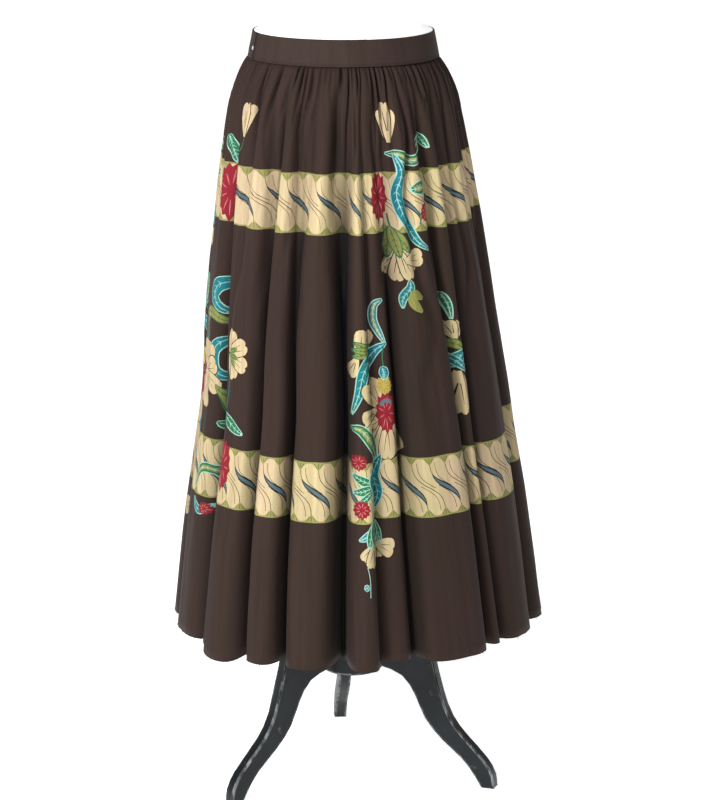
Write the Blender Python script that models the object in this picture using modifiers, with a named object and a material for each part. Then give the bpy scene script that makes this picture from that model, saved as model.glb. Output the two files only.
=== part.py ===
"""Gathered wrap skirt on a waist-down dress form with a three-legged wooden stand.

Metres, +Z up. The viewer stands on the -Y side and +X is the viewer's right.
The origin is on the floor, under the middle of the whole object's box.
Angles round the skirt are degrees from the front, growing towards +X.
"""
import math
from collections import namedtuple

import bmesh
import bpy
from mathutils import Vector

SEAM_GAP = 0.0003
CLOTH_WALL = 0.0012

HEM_HEIGHT = 0.234
BAND_BOTTOM = 1.0055
BAND_TOP = 1.0395
BAND_WALL = 0.0018
# The band widens downwards, so the inner edge of its wall hangs this far below the outer one.
BAND_INNER_DROP = 0.0004
SKIRT_TOP = BAND_BOTTOM - BAND_INNER_DROP - SEAM_GAP

# One row a height: the middle and half width of the skirt, how far it stands out in front and
# behind, how deep its large folds are and how deep its waist gathers are.
Section = namedtuple("Section", "height middle half_width front back fold gather")
SKIRT_SECTIONS = (
    Section(SKIRT_TOP, -0.0212, 0.1268, 0.1120, 0.1050, 0.0000, 0.0020),
    Section(0.985, -0.0205, 0.1390, 0.1215, 0.1160, 0.0012, 0.0045),
    Section(0.948, -0.0205, 0.1530, 0.1330, 0.1290, 0.0035, 0.0042),
    Section(0.888, -0.0188, 0.1645, 0.1480, 0.1440, 0.0075, 0.0026),
    Section(0.793, -0.0160, 0.1790, 0.1665, 0.1630, 0.0125, 0.0012),
    Section(0.673, -0.0118, 0.1952, 0.1880, 0.1860, 0.0175, 0.0004),
    Section(0.533, -0.0050, 0.2120, 0.2095, 0.2080, 0.0225, 0.0000),
    Section(0.383, -0.0035, 0.2356, 0.2300, 0.2290, 0.0275, 0.0000),
    Section(HEM_HEIGHT, -0.0015, 0.2546, 0.2450, 0.2450, 0.0320, 0.0000),
)

# One row a valley between two large folds: its angle at the hem and at the waist, its depth,
# how far the crest after it lies inside the outline, both as shares of the section's fold
# depth, and how far the hem of that crest hangs below the rest. The front stretch runs from
# the wrap's free edge to the right side seam, and the back stretch on to the left seam.
Valley = namedtuple("Valley", "hem_angle waist_angle depth crest drop")
WRAP_EDGE = Valley(-58.0, -67.0, 0.25, 0.00, 0.014)
UNDER_VALLEYS = (
    Valley(-113.0, -112.0, 0.90, 0.00, 0.000),
    Valley(-83.0, -86.0, 1.00, 0.00, 0.000),
    Valley(-58.0, -63.0, 1.10, 0.00, 0.000),
)
FRONT_VALLEYS = (
    WRAP_EDGE,
    Valley(-39.5, -33.0, 1.20, 0.00, 0.003),
    Valley(-25.0, -20.0, 0.90, 0.00, 0.002),
    Valley(-6.0, 1.0, 1.50, 0.00, 0.002),
    Valley(8.0, 9.0, 1.35, 1.20, 0.000),
    Valley(21.5, 18.0, 1.60, 0.10, 0.000),
    Valley(50.0, 42.0, 1.30, 0.60, 0.000),
    Valley(58.0, 54.0, 1.20, 0.30, 0.000),
    Valley(79.0, 77.0, 1.10, 0.00, 0.000),
    Valley(107.0, 105.0, 0.90, 0.00, 0.000),
)
BACK_VALLEYS = (
    Valley(107.0, 105.0, 0.90, 0.00, 0.000),
    Valley(121.0, 120.0, 0.95, 0.10, 0.002),
    Valley(137.0, 138.0, 0.80, 0.00, 0.000),
    Valley(151.0, 150.0, 1.35, 0.25, 0.000),
    Valley(168.0, 169.0, 0.85, 0.00, 0.002),
    Valley(184.0, 182.0, 1.20, 0.10, 0.000),
    Valley(199.0, 199.0, 0.80, 0.00, 0.000),
    Valley(214.0, 215.0, 1.30, 0.20, 0.002),
    Valley(231.0, 231.0, 0.95, 0.00, 0.000),
    Valley(247.0, 248.0, 0.90, 0.00, 0.000),
)
COLUMN_STEP = 1.9
CREST_ROUNDNESS = 0.85
GATHER_UNEVEN = 0.35
GATHER_BEAT = 1.9

# The under wrap runs on behind the front panel, inside that panel's deepest valleys.
UNDER_HIDDEN_START = -66.0
UNDER_HIDDEN_FULL = -59.0
UNDER_END = 2.0
UNDER_STEP = 3.0
UNDER_CLEARANCE = 0.0035
DEEPEST_VALLEY = max(valley.depth for valley in FRONT_VALLEYS)

# The waistband is one strip, a little longer than one turn, from its hidden inner end round
# the back to its outer end at the viewer's left.
BAND_MIDDLE = -0.0205
BAND_INNER_END = 15.0
BAND_OUTER_END = -69.0
BAND_SWEEP = 360.0 + BAND_INNER_END - BAND_OUTER_END
BAND_LIFT_START = 290.0
BAND_LIFT_END = 345.0
BAND_STEP = 4.0
BandEdge = namedtuple("BandEdge", "height half_width front back")
BAND_EDGES = (
    BandEdge(BAND_TOP, 0.1195, 0.1030, 0.0970),
    BandEdge(BAND_BOTTOM, 0.1262, 0.1095, 0.1030),
)

# The hook is bent from flat wire, and its middle lies at this share of the band's height.
HOOK_HEIGHT = 0.0045
HOOK_LENGTH = 0.0056
HOOK_STANDOFF = 0.0022
HOOK_METAL = 0.0007
HOOK_TIP = 0.0006
HOOK_SHARE = 0.41
BAR_RADIUS = 0.0004
BAR_HEIGHT = 0.0075
BAR_PLACE = 0.0032

FORM_GAP = 0.0004
FORM_BOTTOM = 0.693
FORM_SIDES = 40
FORM_MIDDLE = BAND_MIDDLE
FormRing = namedtuple("FormRing", "height half_width front back")
FORM_RINGS = (
    FormRing(1.0550, 0.0180, 0.0160, 0.0150),
    FormRing(1.0542, 0.0480, 0.0420, 0.0400),
    FormRing(1.0510, 0.0830, 0.0720, 0.0680),
    FormRing(1.0460, 0.1040, 0.0900, 0.0850),
    FormRing(BAND_TOP, *(size - BAND_WALL - FORM_GAP for size in BAND_EDGES[0][1:])),
    FormRing(1.0230, 0.1165, 0.1005, 0.0945),
    FormRing(0.9990, 0.1150, 0.0990, 0.0930),
    FormRing(0.9630, 0.1180, 0.1020, 0.1000),
    FormRing(0.9130, 0.1270, 0.1090, 0.1120),
    FormRing(0.8530, 0.1370, 0.1160, 0.1210),
    FormRing(0.7930, 0.1420, 0.1190, 0.1220),
    FormRing(0.7380, 0.1400, 0.1160, 0.1180),
    FormRing(0.7080, 0.1320, 0.1080, 0.1090),
    FormRing(FORM_BOTTOM, 0.1180, 0.0960, 0.0960),
)

STAND_X = -0.0095
STAND_Y = 0.0080
POLE_RADIUS = 0.0135
POLE_SIDES = 20
HUB_RADIUS = 0.0430
HUB_BOTTOM = 0.1500
HUB_TOP = 0.2680
HUB_TOP_ROUND = 0.0060
HUB_FOOT_ROUND = 0.0030
HUB_SIDES = 32
# Degrees round the pole from +X, with the third leg behind.
LEG_ANGLES = (-21.0, 95.0, 218.0)
LEG_BOARD = 0.0170
LEG_EDGE_ROUND = 0.0020
LEG_EDGE_ANGLE = 60.0
# One row a point of a leg's side view: how far out from the pole and how high, from the top of
# the joint with the hub, along the back of the knee to the toe, and back along the underside.
LegPoint = namedtuple("LegPoint", "out height corner")
LEG_OUTLINE = (
    LegPoint(HUB_RADIUS + SEAM_GAP, 0.2610, True),
    LegPoint(0.0780, 0.2540, False),
    LegPoint(0.1080, 0.2250, False),
    LegPoint(0.1210, 0.1800, False),
    LegPoint(0.1340, 0.1300, False),
    LegPoint(0.1480, 0.0950, False),
    LegPoint(0.1680, 0.0700, False),
    LegPoint(0.1980, 0.0400, False),
    LegPoint(0.2110, 0.0180, False),
    LegPoint(0.2130, 0.0000, True),
    LegPoint(0.1930, 0.0000, True),
    LegPoint(0.1860, 0.0120, False),
    LegPoint(0.1660, 0.0370, False),
    LegPoint(0.1360, 0.0620, False),
    LegPoint(0.1110, 0.0900, False),
    LegPoint(0.0960, 0.1220, False),
    LegPoint(0.0770, 0.1480, False),
    LegPoint(HUB_RADIUS + SEAM_GAP, 0.1590, True),
)

BROWN_COTTON = (0.055, 0.038, 0.032, 1.0)
WHITE_JERSEY = (0.86, 0.85, 0.82, 1.0)
BLACK_PAINT = (0.022, 0.026, 0.028, 1.0)
NICKEL = (0.70, 0.69, 0.66, 1.0)


def smooth_step(start, end, value):
    """0 before start, 1 after end, and an even S between them."""
    share = min(1.0, max(0.0, (value - start) / (end - start)))
    return share * share * (3.0 - 2.0 * share)


def mix(first, second, share):
    return first + (second - first) * share


def make_material(name, colour, roughness, metallic=0.0):
    material = bpy.data.materials.new(name)
    material.use_nodes = True
    shader = material.node_tree.nodes["Principled BSDF"]
    shader.inputs["Base Color"].default_value = colour
    shader.inputs["Roughness"].default_value = roughness
    shader.inputs["Metallic"].default_value = metallic
    return material


def add_object(name, mesh, collection, material):
    part = bpy.data.objects.new(name, mesh)
    part.data.materials.append(material)
    collection.objects.link(part)
    return part


def oval_point(middle, half_width, front, back, angle, height, inset=0.0):
    """A point at an angle round an oval, moved in towards its middle by the inset."""
    turn = math.radians(angle)
    depth = front if math.cos(turn) > 0.0 else back
    out_x, out_y = half_width * math.sin(turn), -depth * math.cos(turn)
    keep = 1.0 - inset / math.hypot(out_x, out_y)
    return Vector((middle + out_x * keep, out_y * keep, height))


def grid_object(name, rows, collection, material, wall):
    """A sheet through rows of points, thickened inwards into a closed wall."""
    mesh = bpy.data.meshes.new(name)
    width = len(rows[0])
    points = [point for row in rows for point in row]
    faces = []
    for row in range(len(rows) - 1):
        for column in range(width - 1):
            corner = row * width + column
            faces.append((corner, corner + width, corner + width + 1, corner + 1))
    mesh.from_pydata(points, [], faces)
    mesh.shade_smooth()
    part = add_object(name, mesh, collection, material)
    thickness = part.modifiers.new("cloth wall", "SOLIDIFY")
    thickness.thickness = wall
    thickness.offset = -1.0
    thickness.use_rim = True
    return part


def fold_columns(valleys):
    """Every thread column of a panel: its fold's two valleys and its place between them."""
    columns = []
    for left, right in zip(valleys, valleys[1:]):
        pairs = max(2, round((right.hem_angle - left.hem_angle) / (2.0 * COLUMN_STEP)))
        columns += [(left, right, step / (2 * pairs)) for step in range(2 * pairs)]
    columns.append((valleys[-2], valleys[-1], 1.0))
    return columns


def column_angle(left, right, place, height):
    """A column leans between its valleys' angles at the hem and at the waist."""
    rise = (height - HEM_HEIGHT) / (SKIRT_TOP - HEM_HEIGHT)
    return mix(mix(left.hem_angle, left.waist_angle, rise),
               mix(right.hem_angle, right.waist_angle, rise), place)


def crest_share(place):
    """0 in a valley and 1 on the crest: round crests between sharp valleys."""
    return math.sin(math.pi * place) ** CREST_ROUNDNESS if 0.0 < place < 1.0 else 0.0


def fold_inset(left, right, place, section):
    """How far a column lies inside the skirt's outline."""
    return section.fold * mix(mix(left.depth, right.depth, place), left.crest,
                              crest_share(place))


def column_height(left, place, section):
    """The hem of a fold hangs down by its drop, and the rows above it don't."""
    hangs = section.height == HEM_HEIGHT
    return section.height - (left.drop * crest_share(place) if hangs else 0.0)


def gather_inset(index, section):
    """Every second column is the valley of one waist gather, each a little different."""
    uneven = 1.0 + GATHER_UNEVEN * math.sin(index * GATHER_BEAT)
    return section.gather * uneven * (1 - index % 2)


def seam_shift(valleys, index, last, section):
    """The seam edges of a panel stop half a gap short of the seam."""
    half_gap = math.degrees(0.5 * SEAM_GAP / section.half_width)
    if index == 0 and valleys[0] is not WRAP_EDGE:
        return half_gap
    return -half_gap if index == last else 0.0


def panel_rows(valleys):
    columns = fold_columns(valleys)
    last = len(columns) - 1
    rows = []
    for section in SKIRT_SECTIONS:
        row = []
        for index, (left, right, place) in enumerate(columns):
            angle = column_angle(left, right, place, section.height)
            angle += seam_shift(valleys, index, last, section)
            inset = fold_inset(left, right, place, section) + gather_inset(index, section)
            row.append(oval_point(section.middle, section.half_width, section.front,
                                  section.back, angle,
                                  column_height(left, place, section), inset))
        rows.append(row)
    return rows


def under_rows():
    """The under wrap: its folds show at the left, then it lies flat behind the front panel."""
    columns = fold_columns(UNDER_VALLEYS)
    hidden = int((UNDER_END - UNDER_VALLEYS[-1].hem_angle) / UNDER_STEP)
    rows = []
    for section in SKIRT_SECTIONS:
        buried = (section.fold * DEEPEST_VALLEY + section.gather * (1.0 + GATHER_UNEVEN)
                  + UNDER_CLEARANCE)
        row = []
        for index, (left, right, place) in enumerate(columns):
            angle = column_angle(left, right, place, section.height)
            if index == 0:
                angle += math.degrees(0.5 * SEAM_GAP / section.half_width)
            share = smooth_step(UNDER_HIDDEN_START, UNDER_HIDDEN_FULL,
                                mix(left.hem_angle, right.hem_angle, place))
            inset = fold_inset(left, right, place, section) + gather_inset(index, section)
            row.append(oval_point(section.middle, section.half_width, section.front,
                                  section.back, angle, section.height,
                                  mix(inset, buried, share)))
        last_angle = column_angle(*columns[-1], section.height)
        for step in range(1, hidden + 1):
            angle = mix(last_angle, UNDER_END, step / hidden)
            row.append(oval_point(section.middle, section.half_width, section.front,
                                  section.back, angle, section.height, buried))
        rows.append(row)
    return rows


def band_angle(sweep):
    return BAND_INNER_END - sweep


def band_point(edge, sweep, out=0.0):
    """A point on the band's outer face; past the lift the strip lies over its inner end."""
    lift = (BAND_WALL + SEAM_GAP) * smooth_step(BAND_LIFT_START, BAND_LIFT_END, sweep)
    return oval_point(BAND_MIDDLE, edge.half_width, edge.front, edge.back,
                      band_angle(sweep), edge.height, -(lift + out))


def make_waistband(collection, material):
    steps = round(BAND_SWEEP / BAND_STEP)
    rows = [[band_point(edge, BAND_SWEEP * (1.0 - step / steps)) for step in range(steps + 1)]
            for edge in BAND_EDGES]
    return grid_object("waistband", rows, collection, material, BAND_WALL)


def make_prism(name, outline, axis, collection, material):
    """A flat outline of points pushed straight along the axis."""
    mesh = bpy.data.meshes.new(name)
    shape = bmesh.new()
    face = shape.faces.new([shape.verts.new(point) for point in outline])
    pushed = bmesh.ops.extrude_face_region(shape, geom=[face])
    moved = [item for item in pushed["geom"] if isinstance(item, bmesh.types.BMVert)]
    bmesh.ops.translate(shape, vec=axis, verts=moved)
    bmesh.ops.recalc_face_normals(shape, faces=shape.faces)
    shape.to_mesh(mesh)
    shape.free()
    return add_object(name, mesh, collection, material)


def make_fastener(collection, material):
    """A flat hook on the band's outer end, closed over a bar on the strip beneath it."""
    top, bottom = BAND_EDGES
    level = BandEdge(*(mix(low, high, HOOK_SHARE) for low, high in zip(bottom, top)))
    end, beside = (oval_point(BAND_MIDDLE, level.half_width, level.front, level.back,
                              angle, level.height)
                   for angle in (BAND_OUTER_END, BAND_OUTER_END - 1.0))
    along = (beside - end).normalized()
    outward = Vector((-along.y, along.x, 0.0))
    inner = HOOK_STANDOFF - HOOK_METAL
    bend = HOOK_LENGTH - HOOK_METAL
    side_view = ((SEAM_GAP, inner), (SEAM_GAP, HOOK_STANDOFF), (bend, HOOK_STANDOFF),
                 (HOOK_LENGTH, inner), (HOOK_LENGTH, HOOK_TIP), (bend, HOOK_TIP),
                 (bend, inner))
    down = Vector((0.0, 0.0, -0.5 * HOOK_HEIGHT))
    make_prism("hook", [end + along * run + outward * rise + down for run, rise in side_view],
               Vector((0.0, 0.0, HOOK_HEIGHT)), collection, material)
    bpy.ops.mesh.primitive_cylinder_add(
        vertices=10, radius=BAR_RADIUS, depth=BAR_HEIGHT,
        location=end + along * BAR_PLACE + outward * (BAR_RADIUS + 2.0 * SEAM_GAP))
    adopt("bar", collection, material)


def adopt(name, collection, material):
    """Names the primitive that was just made and moves it into the object's collection."""
    part = bpy.context.object
    part.name = name
    part.data.name = name
    for holder in list(part.users_collection):
        holder.objects.unlink(part)
    collection.objects.link(part)
    part.data.materials.append(material)
    part.data.shade_smooth()
    part.data.set_sharp_from_angle(angle=math.radians(40.0))
    return part


def make_form(collection, material):
    """A closed hip block, lofted through its rings, with a low domed top."""
    mesh = bpy.data.meshes.new("skirt_form")
    shape = bmesh.new()
    loops = []
    for ring in FORM_RINGS:
        loops.append([shape.verts.new(oval_point(
            FORM_MIDDLE, ring.half_width, ring.front, ring.back,
            360.0 * side / FORM_SIDES, ring.height)) for side in range(FORM_SIDES)])
    for upper, lower in zip(loops, loops[1:]):
        for side in range(FORM_SIDES):
            beside = (side + 1) % FORM_SIDES
            shape.faces.new((upper[side], upper[beside], lower[beside], lower[side]))
    shape.faces.new(loops[0])
    shape.faces.new(loops[-1])
    bmesh.ops.recalc_face_normals(shape, faces=shape.faces)
    shape.to_mesh(mesh)
    shape.free()
    mesh.shade_smooth()
    mesh.set_sharp_from_angle(angle=math.radians(50.0))
    return add_object("skirt_form", mesh, collection, material)


def make_turned(name, profile, sides, collection, material):
    """A profile at +X, run down its outer side, turned round the stand's axis."""
    mesh = bpy.data.meshes.new(name)
    mesh.from_pydata([(radius, 0.0, height) for radius, height in profile],
                     [(step, step + 1) for step in range(len(profile) - 1)], [])
    part = add_object(name, mesh, collection, material)
    part.location = (STAND_X, STAND_Y, 0.0)
    turn = part.modifiers.new("turned", "SCREW")
    turn.steps = sides
    turn.render_steps = sides
    turn.use_merge_vertices = True
    turn.merge_threshold = 0.00005
    turn.use_smooth_shade = True
    return part


def make_leg(name, angle, collection, material):
    """One flat sawn leg: its side view as a filled curve, as thick as the board."""
    curve = bpy.data.curves.new(name + "_outline", "CURVE")
    curve.dimensions = "2D"
    curve.fill_mode = "BOTH"
    curve.extrude = 0.5 * LEG_BOARD
    curve.resolution_u = 2
    spline = curve.splines.new("BEZIER")
    spline.bezier_points.add(len(LEG_OUTLINE) - 1)
    for point, place in zip(spline.bezier_points, LEG_OUTLINE):
        point.co = (place.out, place.height, 0.0)
        kind = "VECTOR" if place.corner else "AUTO"
        point.handle_left_type = kind
        point.handle_right_type = kind
    spline.use_cyclic_u = True
    guide = bpy.data.objects.new(name + "_outline", curve)
    collection.objects.link(guide)
    bpy.context.view_layer.update()
    graph = bpy.context.evaluated_depsgraph_get()
    mesh = bpy.data.meshes.new_from_object(guide.evaluated_get(graph))
    bpy.data.objects.remove(guide)
    shape = bmesh.new()
    shape.from_mesh(mesh)
    bmesh.ops.remove_doubles(shape, verts=shape.verts, dist=0.00002)
    bmesh.ops.recalc_face_normals(shape, faces=shape.faces)
    shape.to_mesh(mesh)
    shape.free()
    mesh.name = name
    mesh.materials.clear()
    leg = add_object(name, mesh, collection, material)
    leg.rotation_euler = (math.radians(90.0), 0.0, math.radians(angle))
    leg.location = (STAND_X, STAND_Y, 0.0)
    rounding = leg.modifiers.new("rounded edges", "BEVEL")
    rounding.width = LEG_EDGE_ROUND
    rounding.segments = 2
    rounding.limit_method = "ANGLE"
    rounding.angle_limit = math.radians(LEG_EDGE_ANGLE)
    return leg


def main():
    for leftover in list(bpy.data.objects):
        bpy.data.objects.remove(leftover, do_unlink=True)
    skirt = bpy.data.collections.new("wrap_skirt_on_form")
    bpy.context.scene.collection.children.link(skirt)

    cotton = make_material("brown_cotton", BROWN_COTTON, 0.85)
    jersey = make_material("white_jersey", WHITE_JERSEY, 0.90)
    paint = make_material("black_paint", BLACK_PAINT, 0.45)
    nickel = make_material("nickel", NICKEL, 0.30, 1.0)

    grid_object("front_panel", panel_rows(FRONT_VALLEYS), skirt, cotton, CLOTH_WALL)
    grid_object("back_panel", panel_rows(BACK_VALLEYS), skirt, cotton, CLOTH_WALL)
    grid_object("under_wrap_panel", under_rows(), skirt, cotton, CLOTH_WALL)
    make_waistband(skirt, cotton)
    make_fastener(skirt, nickel)

    make_form(skirt, jersey)
    make_turned("pole", ((0.0, FORM_BOTTOM - SEAM_GAP), (POLE_RADIUS, FORM_BOTTOM - SEAM_GAP),
                         (POLE_RADIUS, HUB_TOP + SEAM_GAP), (0.0, HUB_TOP + SEAM_GAP)),
                POLE_SIDES, skirt, paint)
    make_turned("hub", ((0.0, HUB_TOP), (HUB_RADIUS - HUB_TOP_ROUND, HUB_TOP),
                        (HUB_RADIUS, HUB_TOP - HUB_TOP_ROUND),
                        (HUB_RADIUS, HUB_BOTTOM + HUB_FOOT_ROUND),
                        (HUB_RADIUS - HUB_FOOT_ROUND, HUB_BOTTOM), (0.0, HUB_BOTTOM)),
                HUB_SIDES, skirt, paint)
    for number, angle in enumerate(LEG_ANGLES, 1):
        make_leg("leg_%d" % number, angle, skirt, paint)


main()
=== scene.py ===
import math
from collections import namedtuple

import bmesh
import bpy
import numpy as np
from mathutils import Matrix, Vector
from mathutils.geometry import delaunay_2d_cdt


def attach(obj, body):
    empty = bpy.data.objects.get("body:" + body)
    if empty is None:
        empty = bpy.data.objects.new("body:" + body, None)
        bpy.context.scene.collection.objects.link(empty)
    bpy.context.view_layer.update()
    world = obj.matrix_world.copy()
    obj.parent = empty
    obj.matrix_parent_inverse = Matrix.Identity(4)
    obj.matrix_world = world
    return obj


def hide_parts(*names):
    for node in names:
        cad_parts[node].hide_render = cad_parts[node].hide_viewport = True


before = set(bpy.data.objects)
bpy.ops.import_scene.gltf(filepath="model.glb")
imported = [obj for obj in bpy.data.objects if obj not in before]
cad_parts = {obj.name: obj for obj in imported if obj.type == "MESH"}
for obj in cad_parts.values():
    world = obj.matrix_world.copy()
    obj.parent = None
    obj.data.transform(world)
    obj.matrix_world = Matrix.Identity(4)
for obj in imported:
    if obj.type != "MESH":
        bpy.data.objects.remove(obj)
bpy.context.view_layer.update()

# A gathered wrap skirt in printed brown cotton, on a waist-down form and a tripod stand.
# Metres, +Z up. The viewer stands on the -Y side and +X is the viewer's right. Angles round
# the skirt are degrees from the front, growing towards +X. A place in the flat cloth is
# (along, down): metres from the panel's left edge and metres down from its gathered top.

# Camera: the photograph's viewpoint, from its fitted perspective.
CAMERA_PLACE = (-0.008, -3.9, 1.573)
CAMERA_PITCH = 14.9
CAMERA_LENS = 133.875
SENSOR_WIDTH = 36.0

# Sizes that the construction also has.
HEM_HEIGHT = 0.234
BAND_BOTTOM = 1.0055
BAND_TOP = 1.0395
BAND_WALL = 0.0018
SEAM_GAP = 0.0003
SKIRT_TOP = 1.0048
Section = namedtuple("Section", "height middle half_width front back fold")
SKIRT_SECTIONS = (
    Section(HEM_HEIGHT, -0.0015, 0.2546, 0.2450, 0.2450, 0.0320),
    Section(0.383, -0.0035, 0.2356, 0.2300, 0.2290, 0.0275),
    Section(0.533, -0.0050, 0.2120, 0.2095, 0.2080, 0.0225),
    Section(0.673, -0.0118, 0.1952, 0.1880, 0.1860, 0.0175),
    Section(0.793, -0.0160, 0.1790, 0.1665, 0.1630, 0.0125),
    Section(0.888, -0.0188, 0.1645, 0.1480, 0.1440, 0.0075),
    Section(0.948, -0.0205, 0.1530, 0.1330, 0.1290, 0.0035),
    Section(0.985, -0.0205, 0.1390, 0.1215, 0.1160, 0.0012),
    Section(SKIRT_TOP, -0.0212, 0.1268, 0.1120, 0.1050, 0.0000),
)

# One row a valley between two large folds: its angle at the hem and at the waist, how far it
# sways sideways halfway down, half the width of its flat bottom, its depth, how far the crest
# after it lies inside the outline, both as shares of the section's fold depth, how far the hem
# of that crest hangs down, and the number of waist gathers up to the next valley.
Valley = namedtuple("Valley", "hem waist sway gap depth crest drop gathers")
FRONT_VALLEYS = (
    Valley(-57.5, -59.0, 1.8, 0.0, 0.25, 0.00, 0.014, 5),
    Valley(-39.5, -30.0, -3.5, 1.3, 1.40, 0.00, 0.003, 4),
    Valley(-25.3, -18.5, -2.5, 1.1, 1.35, 0.00, 0.002, 5),
    Valley(-5.6, 2.5, -1.5, 2.4, 1.85, 0.00, 0.002, 4),
    Valley(7.8, 10.5, -2.0, 0.4, 1.20, 1.00, 0.000, 3),
    Valley(21.0, 18.8, -2.3, 1.2, 1.80, 0.30, 0.000, 7),
    Valley(50.3, 39.5, 1.0, 0.8, 1.50, 0.60, 0.000, 3),
    Valley(57.0, 56.0, -3.5, 0.9, 1.40, 0.25, 0.000, 6),
    Valley(79.0, 77.0, 2.0, 0.6, 1.20, 0.00, 0.000, 7),
    Valley(107.0, 105.0, 0.0, 0.3, 0.90, 0.00, 0.000, 0),
)
BACK_VALLEYS = (
    Valley(107.0, 105.0, 0.0, 0.3, 0.90, 0.00, 0.000, 4),
    Valley(121.0, 120.0, 0.0, 0.8, 0.95, 0.10, 0.002, 4),
    Valley(137.0, 138.0, 1.0, 0.8, 0.80, 0.00, 0.000, 4),
    Valley(151.0, 150.0, -1.0, 1.5, 1.35, 0.25, 0.000, 4),
    Valley(168.0, 169.0, 0.0, 0.8, 0.85, 0.00, 0.002, 4),
    Valley(184.0, 182.0, 1.0, 1.0, 1.20, 0.10, 0.000, 4),
    Valley(199.0, 199.0, 0.0, 0.8, 0.80, 0.00, 0.000, 4),
    Valley(214.0, 215.0, -1.0, 1.4, 1.30, 0.20, 0.002, 4),
    Valley(231.0, 231.0, 0.0, 0.8, 0.95, 0.00, 0.000, 4),
    Valley(247.0, 248.0, 0.0, 0.3, 0.90, 0.00, 0.000, 0),
)
UNDER_VALLEYS = (
    Valley(-113.0, -112.0, 0.0, 0.3, 0.90, 0.00, 0.000, 8),
    Valley(-83.0, -86.0, 0.0, 0.8, 1.00, 0.00, 0.000, 7),
    Valley(-58.0, -63.0, 0.0, 0.3, 1.10, 1.90, 0.000, 12),
    Valley(2.0, 2.0, 0.0, 0.0, 1.90, 0.00, 0.000, 0),
)
# The under wrap sinks behind the front panel between these hem angles. There it lies this
# far in: a share of the section's fold depth, and this much more.
UNDER_SINK_START = -64.0
UNDER_SINK_END = -43.0
UNDER_SHARE = 1.9
UNDER_CLEARANCE = 0.0030

CLOTH_LENGTH = 0.785
CLOTH_WALL = 0.0006
# The top edge reaches this far up into the waistband, and lies this far in there.
TUCK = 0.0022
TUCK_DEPTH = 0.0042
TUCK_FADE = 0.0035
# How broad the crests are, and the share of a fold that they lean over the valleys.
CREST_FLATNESS = 2.6
OVERHANG = 0.13
# Below this height a crest's hem hangs lower than the level hem.
DROP_START = 0.383
# The mesh's spacing.
ALONG_STEP = 0.0032
DOWN_STEP = 0.0115

# Waist gathers. Steps and widths are in gathers, lengths and depths in metres. A fine one
# starts at the seam and fades within its own length; a long one runs far down. The depths
# are set by how far down the cloth they are, and each gather has its own share of them.
FINE_STEP, FINE_WIDTH = 1.0, 0.19
FINE_LENGTHS = (0.022, 0.150)
FINE_DEPTHS = ((0.0, 0.004, 0.02, 0.06, 0.12, 0.20, 0.30),
               (0.0012, 0.0046, 0.0082, 0.0070, 0.0044, 0.0024, 0.0010))
LONG_STEP, LONG_WIDTH = 2.1, 0.50
LONG_LENGTHS = (0.16, 0.75)
LONG_DEPTHS = ((0.0, 0.02, 0.06, 0.12, 0.20, 0.33, 0.47, 0.63, 0.785),
               (0.0, 0.0015, 0.0055, 0.0085, 0.0090, 0.0065, 0.0042, 0.0026, 0.0018))
GATHER_SPACINGS = (0.50, 1.50)
SHALLOWEST_GATHER = 0.40
DEEPEST_GATHER = 1.35
# Gathers wander sideways by up to this many gathers, fully so from this far down.
GATHER_WANDER = 0.75
WANDER_LENGTH = 0.085
WANDER_START = 0.08
# Gathers fade out over this many gathers at a panel's two ends.
END_GATHERS = 0.8

# Creases: size along the cloth, slant in sizes a metre down, size down it, and height.
CREASES = ((0.016, 0.0, 0.26, 0.0008), (0.045, 4.0, 0.075, 0.0006), (0.011, 0.0, 0.030, 0.0002))
CREASE_START = 0.05
CREASE_END = 0.02

# Painted shade: how much darker the cloth's colour is made deep in a valley and in a gather,
# the share of that which is left further down, and the distances down between which it falls to
# it.
VALLEY_SHADE, VALLEY_SHADE_LEFT, VALLEY_FADE = 0.95, 0.82, (0.45, 0.70)
GATHER_SHADE, GATHER_SHADE_LEFT, GATHER_FADE = 0.66, 0.45, (0.08, 0.16)


def mix(first, second, share):
    return first + (second - first) * share


def smooth_share(start, end, value):
    """0 before start, 1 after end, and an even S between them."""
    share = np.clip((value - start) / (end - start), 0.0, 1.0)
    return share * share * (3.0 - 2.0 * share)


def smooth_curve(knots, values, at):
    """A curve through the knots that doesn't overshoot between them."""
    knots, values, at = np.asarray(knots), np.asarray(values), np.asarray(at)
    gaps = np.diff(knots)
    rises = np.diff(values) / gaps
    before, after = rises[:-1], rises[1:]
    same_way = before * after > 0.0
    total = np.where(same_way, before + after, 1.0)
    slopes = np.concatenate(([rises[0]], np.where(same_way, 2.0 * before * after / total, 0.0),
                             [rises[-1]]))
    cell = np.clip(np.searchsorted(knots, at) - 1, 0, len(gaps) - 1)
    share = np.clip((at - knots[cell]) / gaps[cell], 0.0, 1.0)
    rest = 1.0 - share
    return (values[cell] * (1.0 + 2.0 * share) * rest ** 2
            + values[cell + 1] * (3.0 - 2.0 * share) * share ** 2
            + gaps[cell] * share * rest * (slopes[cell] * rest - slopes[cell + 1] * share))


def lattice_noise(across, down, seed):
    """Smooth noise from -1 to 1 on a lattice of unit cells."""
    table = np.random.default_rng(seed).uniform(-1.0, 1.0, (256, 256))
    column, row = np.floor(across).astype(int), np.floor(down).astype(int)
    share_x = smooth_share(0.0, 1.0, across - column)
    share_y = smooth_share(0.0, 1.0, down - row)
    corner = [[table[(column + i) % 256, (row + j) % 256] for j in (0, 1)] for i in (0, 1)]
    return mix(mix(corner[0][0], corner[1][0], share_x),
               mix(corner[0][1], corner[1][1], share_x), share_y)


def section_curve(name, height):
    """One column of the skirt's sections, at any height."""
    return smooth_curve([row.height for row in SKIRT_SECTIONS],
                        [getattr(row, name) for row in SKIRT_SECTIONS], height)


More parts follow.
